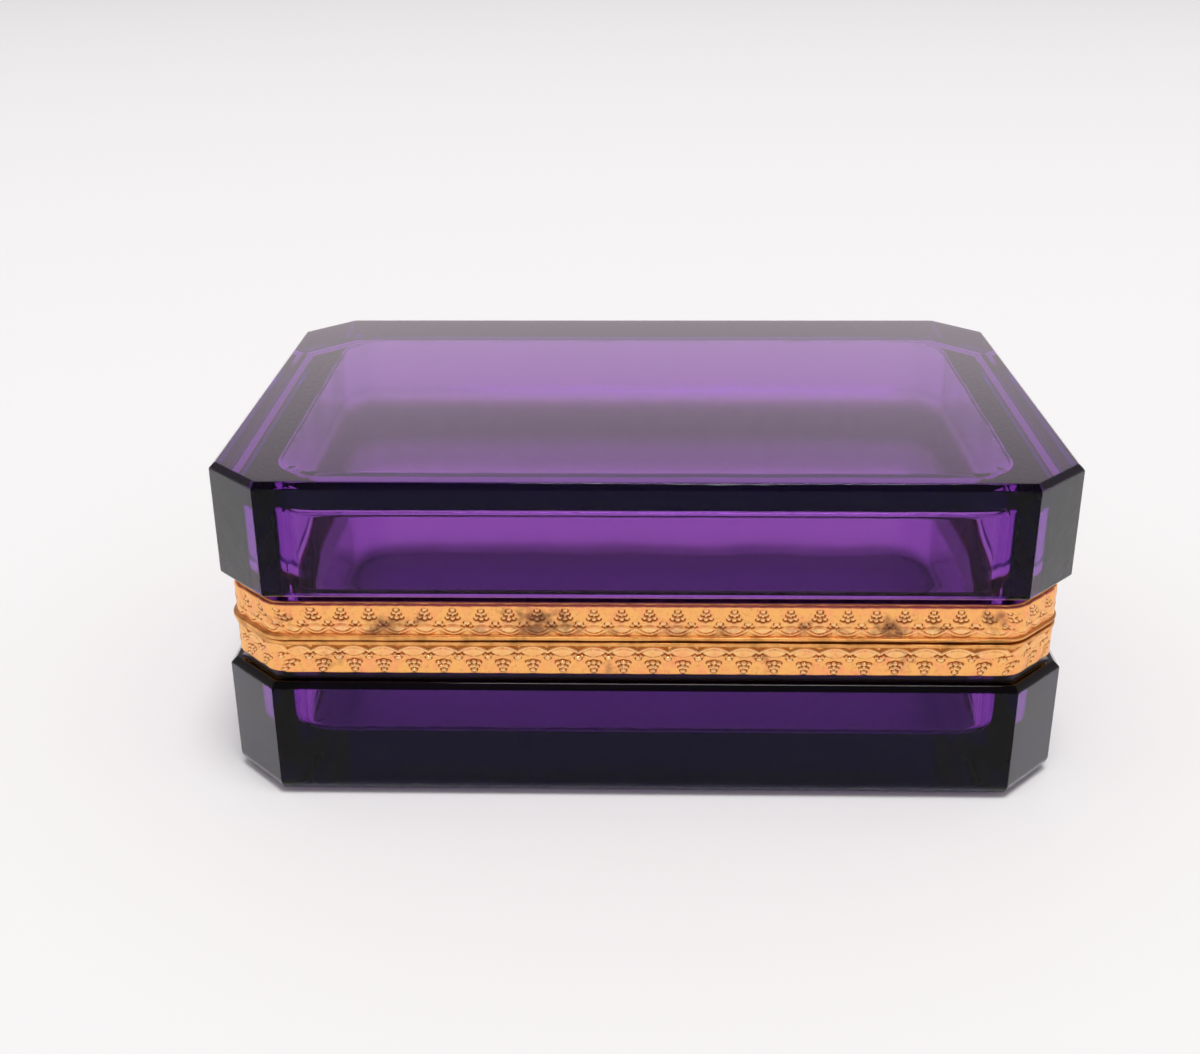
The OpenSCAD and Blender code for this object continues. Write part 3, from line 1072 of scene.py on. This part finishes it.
@dataclass
class StampedStrip:
    """Brass strip stamped with sprigs and buds, bent round the skirt and soldered to it."""

    half: Half
    outline: CutOutline
    mate_z: float
    mount_h: float
    motifs: int
    shift_mm: float
    seed: int
    stains: tuple[Stain, ...]
    pad: Bead
    cusp: float
    rim_t: float = RIM_T
    inset: float = BAND_INSET
    bend_r: float = BAND_BEND_R
    thickness: float = BAND_T
    columns: int = 34
    rows: int = 44
    leaf_half: float = mm(18.2)

    # The die, in millimetres as the tables above
    sink: float = 0.1
    edge_roll: float = 0.5
    roll_depth: float = 0.8
    pillow_half: float = 1.55
    pillow_top: float = 0.16
    pillow_from: float = 2.6
    full_from: float = 3.2
    full_over: float = 2.4
    fullness: tuple[float, float] = (0.55, 0.45)
    cord_away: float = 1.45
    cord_half: float = 0.13
    groove_half: float = 0.14
    scallop_rim: float = 0.1
    scallop_deep: float = 0.95
    scallop_edge: float = 0.09
    moat_half: float = 0.25
    moat_on_bead: float = 0.3
    bead_sink: float = 0.4
    undercut: float = 0.9
    deepest: float = 0.45
    highest: float = 0.3
    under_leaf: float = -0.02

    # How unevenly it was struck, and how much of it shows as light and dark
    strikes: tuple[float, float] = (-0.22, 0.14)
    nudge: float = 0.1
    lift: float = 0.09
    corner_wear: float = 0.45
    corner_lean: float = 0.9
    corner_half: float = mm(6.0)
    slow_wave: tuple[int, int] = (9, 40)
    dents: int = 260
    dent_waves: int = 24
    slow_dent: float = 0.03
    quick_dent: float = 0.045
    dent_lean: float = 1.7
    soft_rounds: int = 6
    shade_depth: float = 0.2
    stain_flat: float = 1.3

    # The free edge, trimmed by hand, in millimetres, and how far short of it the back ends
    trim_dip: float = 0.14
    trim_half: float = 0.6
    trim_waver: float = 0.05
    back_short: float = mm(0.12)

    @property
    def height(self) -> float:
        """Height of the strip from the rim to its free edge."""
        return self.mount_h - self.rim_t

    @property
    def straights(self) -> list[float]:
        """Lengths of the straight stretches between the bent corners."""
        centres = [self.outline.corner(k, self.inset + self.bend_r) for k in range(8)]
        return [float(np.linalg.norm(centres[k] - centres[k - 1])) for k in range(8)]

    @property
    def length(self) -> float:
        """Length of the strip's face once round."""
        return sum(self.straights) + 2 * math.pi * self.bend_r

    @property
    def pitch_mm(self) -> float:
        """Millimetres from one sprig to the next."""
        return self.length * 1000 / self.motifs

    def route(self) -> tuple[np.ndarray, np.ndarray, np.ndarray]:
        """Follows the face of the strip once round, anticlockwise from the middle of the front.

        Returns:
            Points in plan, outward directions, and how far each lies in a bent corner from 0 to 1.
        """
        centres = [self.outline.corner(k, self.inset + self.bend_r) for k in range(8)]
        straights = self.straights
        arc = math.pi / 4 * self.bend_r
        starts = np.concatenate([[0], np.cumsum([s + arc for s in straights])])
        way = np.arange(self.motifs * self.columns) / (self.motifs * self.columns) * self.length
        way = (way + straights[0] / 2) % self.length
        side = np.searchsorted(starts, way, side="right") - 1
        left = way - starts[side]
        straight = np.array(straights)[side]
        bending = np.clip((left - straight) / arc, 0, 1)
        turn = np.radians(-90 + 45 * (side + bending))
        out = np.column_stack([np.cos(turn), np.sin(turn)])
        start_dir = np.array([self.outline.direction(k) for k in range(8)])[side]
        along = np.column_stack([-start_dir[:, 1], start_dir[:, 0]])
        before = np.array([centres[k - 1] for k in range(8)])[side]
        middle = np.array(centres)[side]
        on_side = before + start_dir * self.bend_r + along * np.minimum(left, straight)[:, None]
        on_bend = middle + out * self.bend_r
        points = np.where((left <= straight)[:, None], on_side, on_bend)
        near = np.minimum(np.abs(left - straight - arc / 2), np.abs(left + arc / 2))
        return points, out, bump_at(near, self.corner_half)

    def relief(self, across: np.ndarray, away: np.ndarray) -> np.ndarray:
        """Height of the stamped face.

        Args:
            across: millimetres from the axis of the nearest sprig.
            away: millimetres from the rim.

        Returns:
            Millimetres off the strip's plain face.
        """
        pitch = self.pitch_mm
        bud = np.where(across > 0, across - pitch / 2, across + pitch / 2)
        swing = np.cos(math.pi * np.abs(across) / pitch)
        # A plain pillow above each bud, fuller towards the free edge
        pillow = bump_at(bud, self.pillow_half) * np.clip(away - self.pillow_from, 0, 1)
        least, more = self.fullness
        full = least + more * np.clip((away - self.full_from) / self.full_over, 0, 1)
        face = -self.sink + self.pillow_top * pillow * full
        for cord in CORDS:
            off = away - self.cord_away - cord.swing * swing
            face = face + cord.top * bump_at(off, self.cord_half)
            face = face - cord.groove * bump_at(off - cord.beside, self.groove_half)
        scallop = self.scallop_rim + self.scallop_deep * (1 - np.abs(swing))
        face = face - self.cusp * 0.5 * (1 - np.tanh((away - scallop) / self.scallop_edge))
        for beads, axis in (((self.pad, *SPRIG), across), (BUD, bud)):
            for spot in beads:
                sideways = np.abs(axis - spot.across) / spot.width
                upright = np.abs(away - spot.away) / spot.height
                reach = (sideways**spot.power + upright**spot.power) ** (1 / spot.power)
                under = 1 + self.undercut * np.clip((spot.away - away) / spot.height, -1, 1)
                beside = np.maximum(reach - 1, 0) * min(spot.width, spot.height)
                moat = spot.moat * under * bump_at(beside, self.moat_half)
                raised = spot.top * np.sqrt(np.clip(1 - reach**2, 0, 1)) - self.sink * self.bead_sink
                dipped = np.maximum(face - self.moat_on_bead * moat, raised)
                face = np.where(reach < 1, dipped, face - moat)
        return face

    def struck(
        self, way: np.ndarray, cornered: np.ndarray, levels: np.ndarray
    ) -> tuple[np.ndarray, np.ndarray]:
        """Strikes the die into the strip, sprig by sprig and never quite alike.

        Args:
            way: share of the way round of each column, from 0 to 1.
            cornered: how far each column lies in a bent corner, from 0 to 1.
            levels: millimetres of each row from the rim.

        Returns:
            Millimetres off the plain face, and millimetres across from the nearest sprig.
        """
        pitch = self.pitch_mm
        draw = np.random.default_rng(self.seed)
        strike = 1 + draw.uniform(*self.strikes, self.motifs)
        nudge = draw.uniform(-self.nudge, self.nudge, self.motifs)
        lift = draw.uniform(-self.lift, self.lift, self.motifs)
        lean = cornered * (levels - self.height * 1000 / 2) * self.corner_lean
        along = way * (self.length * 1000) - self.shift_mm + lean
        number = np.floor(along / pitch + 0.5)
        motif = number.astype(int) % self.motifs
        across = along - number * pitch + nudge[motif]
        worn = strike[motif] * (1 - self.corner_wear * cornered)
        return self.relief(across, levels + lift[motif]) * worn, across

    def tarnish(self, way: np.ndarray, levels: np.ndarray) -> np.ndarray:
        """Spreads the patches of tarnish over the face.

        Args:
            way: share of the way round of each column, from 0 to 1.
            levels: millimetres of each row from the rim.

        Returns:
            Strength of the tarnish, in a row for each level.
        """
        total = self.length * 1000
        place = (way * total + total / 2) % total - total / 2
        spots = np.zeros((self.rows, len(way)))
        for stain in self.stains:
            upright = (levels - stain.away) * self.stain_flat
            reach = np.hypot(place - stain.along, upright) / stain.reach
            spots = np.maximum(spots, stain.strength * bump_at(reach, 1.0))
        return spots

    def build(self, material: bpy.types.Material) -> bpy.types.Object:
        """Makes the strip.

        Args:
            material: the stamped gilt finish.

        Returns:
            One closed piece, which stands for the CAD band.
        """
        points, out, cornered = self.route()
        count = len(points)
        tall = self.height * 1000
        slow = Wander(self.seed, *self.slow_wave)
        quick = Wander(self.seed + 1, self.dent_waves, self.dents)
        way = np.arange(count) / count
        levels = np.linspace(0, tall, self.rows)[:, None]
        face, across = self.struck(way, cornered, levels)
        ripple = np.sin(levels * self.dent_lean + self.dents * way)
        face += self.slow_dent * slow.at(way) + self.quick_dent * quick.at(way) * ripple
        # Above its surroundings reads pale and below reads brown: painted highlight and painted shade, with
        # wear and tarnish
        relief_shade_and_highlight = 0.5 + (face - softened(face, self.soft_rounds)) / self.shade_depth
        rolled = np.clip((levels - (tall - self.edge_roll)) / self.edge_roll, 0, 1)
        curl = 1 - np.sqrt(1 - rolled**2)
        face = face * (1 - rolled**2) - self.edge_roll * self.roll_depth * curl
        behind = (points[:, 1] > 0) & (np.abs(points[:, 0]) < self.leaf_half)
        face = np.where(behind, np.minimum(face, self.under_leaf), face)
        face = np.clip(face, -self.deepest, self.highest)
        # A little shorter at each sprig
        dip = self.trim_dip * bump_at(across, self.trim_half)
        drop = rolled * (dip + self.trim_waver * (1 + slow.at(way + 0.3)))
        z = self.mate_z + self.half.away * (self.rim_t + mm(1) * (levels - drop))
        rings = [np.column_stack([points + out * mm(1) * face[j][:, None], z[j]]) for j in range(self.rows)]
        # The back lies hidden on the skirt
        back = points - out * self.thickness
        for away in (self.mount_h - self.back_short, self.rim_t):
            rings.append(np.column_stack([back, np.full(count, self.mate_z + self.half.away * away)]))
        piece = loft(f"{self.half.value}_stamped_band", rings, closed=True)
        for name, values in ((RELIEF, relief_shade_and_highlight), (TARNISH_AND_SHADE, self.tarnish(way, levels))):
            store_values(piece, name, np.append(np.clip(values, 0, 1), np.zeros(2 * count)))
        dress(piece, material)
        hand_over(piece, self.half, "gilt_embossed", f"{self.half.value}_gallery_band")
        return piece


@dataclass
class Mount:
    """Rim and skirt of the mount that, with plaster and liner, holds one glass to its band."""

    half: Half
    outline: CutOutline
    mate_z: float
    mount_h: float
    lip: float
    droop: float
    worn: float
    rim_t: float = RIM_T
    band_inset: float = BAND_INSET
    bend_r: float = BAND_BEND_R
    band_t: float = BAND_T
    skirt_t: float = mm(0.7)
    liner_in: float = mm(0.8)
    side_wall: float = SIDE_WALL
    front_wall: float = FRONT_WALL
    hollow_r: float = HOLLOW_R
    edge: float = mm(0.2)
    edge_points: int = 4

    # Where along the width, from the middle, the lip starts to wear and to bend away, and how fast
    wear_from: float = -0.42
    wear_rise: float = 4.0
    wear_shares: tuple[float, float] = (0.7, 0.5)
    droop_from: float = -0.35
    droop_rise: float = 1.2
    droop_waver: float = 0.25

    # Seed, number of waves and most turns of the lip's wear and of its bend
    wear_wave: tuple[int, int, int] = (9, 8, 60)
    droop_wave: tuple[int, int, int] = (5, 6, 30)

    def ring(self, inset: float, away: float, droop: float = 0.0, worn: float = 0.0) -> np.ndarray:
        """Ring of the mount's outline, whose lip may be worn thin and bent away from the seam.

        Args:
            inset: how far it lies inside the outline of the glass.
            away: distance from the mating face.
            droop: how far the lip is bent away at most.
            worn: how far the lip is worn back.

        Returns:
            Rows of x, y, z.
        """
        plan = self.outline.ring(inset, self.bend_r - (inset - self.band_inset))
        way = np.arange(len(plan)) / len(plan)
        if worn:
            thin = self.outline.ring(inset + worn, self.bend_r - (inset + worn - self.band_inset))
            # Worn back all along but for its left end
            share = np.clip((plan[:, 0] / self.outline.width - self.wear_from) * self.wear_rise, 0, 1)
            share *= self.wear_shares[0] + self.wear_shares[1] * Wander(*self.wear_wave).at(way)
            plan = plan + (thin - plan) * share[:, None]
        # Bent away more and more towards the right
        slope = (plan[:, 0] / self.outline.width - self.droop_from) * self.droop_rise
        lift = droop * np.clip(slope, 0, 1)
        lift += droop * self.droop_waver * Wander(*self.droop_wave).at(way)
        z = self.mate_z + self.half.away * (away + np.maximum(lift, 0))
        return np.column_stack([plan, z])

    def inner(self, away: float) -> np.ndarray:
        """Ring of the opening at a distance from the mating face."""
        plan = self.outline.hollow_ring(self.side_wall, self.front_wall, self.hollow_r, self.liner_in)
        return np.column_stack([plan, np.full(len(plan), self.mate_z + self.half.away * away)])

    def rim(self, material: bpy.types.Material, inside: bpy.types.Material) -> bpy.types.Object:
        """Makes the flat rim with its rounded lip, and the skirt that goes round the neck.

        Args:
            material: the gilt of the lip and the mating face.
            inside: the dark liner finish of the edge round the opening, painted shade.

        Returns:
            One closed piece, which stands for the CAD rim.
        """
        out = self.band_inset - self.lip
        skirt = self.band_inset + self.band_t
        turns = np.linspace(0, math.pi / 2, self.edge_points)
        rings = [self.inner(0), self.ring(out + self.edge * 3, 0)]
        for t in turns:
            inset = out + self.edge * (1 - math.sin(t))
            rings.append(self.ring(inset, self.edge * (1 - math.cos(t)), self.droop, self.worn))
        for t in turns[::-1]:
            inset = out + self.edge * (1 - math.sin(t))
            rings.append(self.ring(inset, self.rim_t - self.edge * (1 - math.cos(t)), worn=self.worn))
        rings.append(self.ring(skirt, self.rim_t))
        rings.append(self.ring(skirt, self.mount_h))
        rings.append(self.ring(skirt + self.skirt_t, self.mount_h))
        rings.append(self.ring(skirt + self.skirt_t, self.rim_t))
        rings.append(self.inner(self.rim_t))
        piece = loft(f"{self.half.value}_rim_and_skirt", rings, closed=True)
        keep_flats(piece)
        dress(piece, material)
        piece.data.materials.append(inside)
        reach = self.liner_in + mm(0.1)
        # Faces round the opening take the dark liner finish: painted shade
        for face in piece.data.polygons:
            across = abs(face.center.x) < self.outline.width / 2 - self.side_wall + reach
            along = abs(face.center.y) < self.outline.depth / 2 - self.front_wall + reach
            face.material_index = 1 if across and along else 0
        hand_over(piece, self.half, "gilt_plain", f"{self.half.value}_rim")
        return piece


def paint_node(node: str, material: bpy.types.Material) -> None:
    """Gives a CAD node its finish.

    Args:
        node: the CAD node, which keeps its shape.
        material: its finish.
    """
    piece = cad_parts[node]
    dress(piece, material)
    LOG.info("%s: keeps its CAD shape", node)


@dataclass
class Studio:
    """Floor, light and camera."""

    floor_size: float = 4.0
    floor_gap: float = mm(0.05)
    camera_place: tuple[float, float, float] = (mm(-1.38), mm(-274.13), mm(153.76))
    pitch_deg: float = 22.896
    yaw_deg: float = -1.499
    roll_deg: float = -0.408
    lens_mm: float = 44.25
    sensor_mm: float = 36.0
    lens_shift: float = -0.025
    sky_light: float = 0.5
    sky_seen: str = "#F4F4F6"
    sky_tint: str = "#FFF0FA"
    sky_stops: tuple[tuple[float, float], ...] = ((0.26, 0.95), (0.43, 0.4), (0.6, 0.4), (0.9, 0.3))
    lamp_size: float = 2.0
    lamp_watts: float = 150.0
    lamp_place: tuple[float, float, float] = (0.3, -0.9, 5.0)
    bounces: int = 32
    glossy_bounces: int = 12
    diffuse_bounces: int = 4

    def floor(self) -> None:
        """Lays the pale floor just under the glass."""
        half = self.floor_size / 2
        mesh = bpy.data.meshes.new("floor")
        corners = [(-half, -half), (half, -half), (half, half), (-half, half)]
        mesh.from_pydata([(x, y, -self.floor_gap) for x, y in corners], [], [(0, 1, 2, 3)])
        floor = bpy.data.objects.new("floor", mesh)
        bpy.context.scene.collection.objects.link(floor)
        dress(floor, FloorPaper().make())

    def sky(self) -> None:
        """Lights the room evenly from all round.

        What shines back from polished faces is white near the floor, greyer half way up and white overhead.
        """
        world = bpy.data.worlds.new("studio")
        world.use_nodes = True
        tree = world.node_tree
        tree.nodes.clear()
        out = add_node(tree, "ShaderNodeOutputWorld")
        light = add_node(
            tree, "ShaderNodeBackground", {"Color": (1.0, 1.0, 1.0, 1.0), "Strength": self.sky_light}
        )
        seen = add_node(tree, "ShaderNodeBackground", {"Color": linear(self.sky_seen), "Strength": 1.0})
        place = add_node(tree, "ShaderNodeTexCoord")
        height = add_node(tree, "ShaderNodeSeparateXYZ", {}, {"Vector": place.outputs["Generated"]})
        walls = add_node(tree, "ShaderNodeValToRGB", {}, {"Fac": height.outputs["Z"]})
        stops = walls.color_ramp.elements
        stops[0].position, stops[1].position = self.sky_stops[0][0], self.sky_stops[-1][0]
        for position, _ in self.sky_stops[1:-1]:
            stops.new(position)
        red, green, blue, _ = linear(self.sky_tint)
        for stop, (_, level) in zip(stops, self.sky_stops):
            stop.color = (level * red, level * green, level * blue, 1.0)
        mirrored = add_node(
            tree, "ShaderNodeBackground", {"Strength": 1.0}, {"Color": walls.outputs["Color"]}
        )
        path = add_node(tree, "ShaderNodeLightPath")
        shader = light.outputs["Background"]
        for ray, other in (
            ("Is Glossy Ray", mirrored),
            ("Is Transmission Ray", seen),
            ("Is Camera Ray", seen),
        ):
            mix = add_node(
                tree,
                "ShaderNodeMixShader",
                {},
                {0: path.outputs[ray], 1: shader, 2: other.outputs["Background"]},
            )
            shader = mix.outputs["Shader"]
        tree.links.new(shader, out.inputs["Surface"])
        bpy.context.scene.world = world

    def lamp(self) -> None:
        """Hangs one large soft lamp over the table."""
        data = bpy.data.lights.new("softbox", "AREA")
        data.shape = "DISK"
        data.size = self.lamp_size
        data.energy = self.lamp_watts
        lamp = bpy.data.objects.new("softbox", data)
        lamp.location = self.lamp_place
        lamp.rotation_mode = "QUATERNION"
        lamp.rotation_quaternion = Vector(self.lamp_place).to_track_quat("Z", "Y")
        bpy.context.scene.collection.objects.link(lamp)

    def camera(self) -> None:
        """Sets up the camera in front of the casket, looking down on it."""
        pitch, yaw, roll = (math.radians(a) for a in (self.pitch_deg, self.yaw_deg, self.roll_deg))
        ahead = Vector((math.sin(yaw) * math.cos(pitch), math.cos(yaw) * math.cos(pitch), -math.sin(pitch)))
        right = Vector((math.cos(yaw), -math.sin(yaw), 0))
        up = right.cross(ahead)
        across = math.cos(roll) * right + math.sin(roll) * up
        upright = -math.sin(roll) * right + math.cos(roll) * up
        data = bpy.data.cameras.new("camera")
        data.lens = self.lens_mm
        data.sensor_width = self.sensor_mm
        data.shift_y = self.lens_shift
        data.clip_start = 0.01
        data.clip_end = 20.0
        camera = bpy.data.objects.new("camera", data)
        place = Matrix((across, upright, -ahead)).transposed().to_4x4()
        camera.matrix_world = Matrix.Translation(self.camera_place) @ place
        bpy.context.scene.collection.objects.link(camera)
        bpy.context.scene.camera = camera

    def build(self) -> None:
        """Sets up the room and how Blender traces and shows it."""
        self.floor()
        self.sky()
        self.lamp()
        self.camera()
        scene = bpy.context.scene
        scene.view_settings.view_transform = "Standard"
        scene.cycles.max_bounces = self.bounces
        scene.cycles.transmission_bounces = self.bounces
        scene.cycles.glossy_bounces = self.glossy_bounces
        scene.cycles.diffuse_bounces = self.diffuse_bounces


def box_ends(node: str) -> tuple[float, float]:
    """Lowest and highest z of a CAD node."""
    low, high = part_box(node)
    return low.z, high.z


def main() -> None:
    """Builds the casket's pieces in order, then the studio."""
    logging.basicConfig(level=logging.INFO, format="%(name)s: %(message)s")
    low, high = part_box("base_glass")
    outline = CutOutline(width=high.x - low.x, depth=high.y - low.y, cut=mm(9.6))
    base_mate = box_ends("base_rim")[1]
    lid_mate = box_ends("lid_rim")[0]
    base_mount = base_mate - box_ends("base_rim")[0]
    lid_mount = box_ends("lid_rim")[1] - lid_mate
    base_reveal, lid_reveal = mm(1.3), mm(1.9)
    glass, stamped, gilt = GLASS.make(), EMBOSSED.make(), RIM_GILT.make()
    base_glass = CutGlass(
        Half.BASE,
        outline,
        base_mate,
        base_mount,
        base_reveal,
        height=base_mate - base_mount - base_reveal,
        end_t=mm(9.1),
        foot_r=mm(3),
        hollow_fillet=mm(2.4),
        heel=mm(1.0),
        # The base's shoulder gets painted shade, the shadow under its band
        painted_shade=1.0,
        seeds=(11, 19, 29),
    )
    lid_glass = CutGlass(
        Half.LID,
        outline,
        lid_mate,
        lid_mount,
        lid_reveal,
        height=box_ends("lid_glass")[1] - lid_mate - lid_mount - lid_reveal,
        end_t=mm(7.5),
        foot_r=0.0,
        hollow_fillet=mm(1.2),
        heel=mm(0.5),
        painted_shade=0.0,
        seeds=(7, 17, 23),
    )
    for part in (base_glass, lid_glass):
        part.build(glass)
    base_strip = StampedStrip(
        Half.BASE,
        outline,
        base_mate,
        base_mount,
        motifs=88,
        shift_mm=1.82,
        seed=31,
        stains=BASE_STAINS,
        pad=BASE_PAD,
        cusp=0.34,
    )
    lid_strip = StampedStrip(
        Half.LID,
        outline,
        lid_mate,
        lid_mount,
        motifs=95,
        shift_mm=1.13,
        seed=37,
        stains=LID_STAINS,
        pad=LID_PAD,
        cusp=0.1,
    )
    for part in (base_strip, lid_strip):
        part.build(stamped)
    # Dark liner finish: painted shade inside the lid and round each opening
    shaded_liner = LID_LINER.make()
    base_rim = Mount(Half.BASE, outline, base_mate, base_mount, lip=mm(0.25), droop=mm(0.1), worn=0.0)
    lid_rim = Mount(Half.LID, outline, lid_mate, lid_mount, lip=mm(0.65), droop=mm(0.35), worn=mm(0.4))
    for part in (base_rim, lid_rim):
        part.rim(gilt, shaded_liner)
    plaster, hinge = PLASTER.make(), HINGE_BRASS.make()
    for half in Half:
        paint_node(f"{half.value}_plaster_bed", plaster)
        paint_node(f"{half.value}_hinge_leaf", hinge)
    # White liner finish: painted light inside the base
    paint_node("base_liner", BASE_LINER.make())
    paint_node("lid_liner", shaded_liner)
    paint_node("hinge_pin", PIN_STEEL.make())
    Studio().build()


if __name__ == "__main__":
    main()
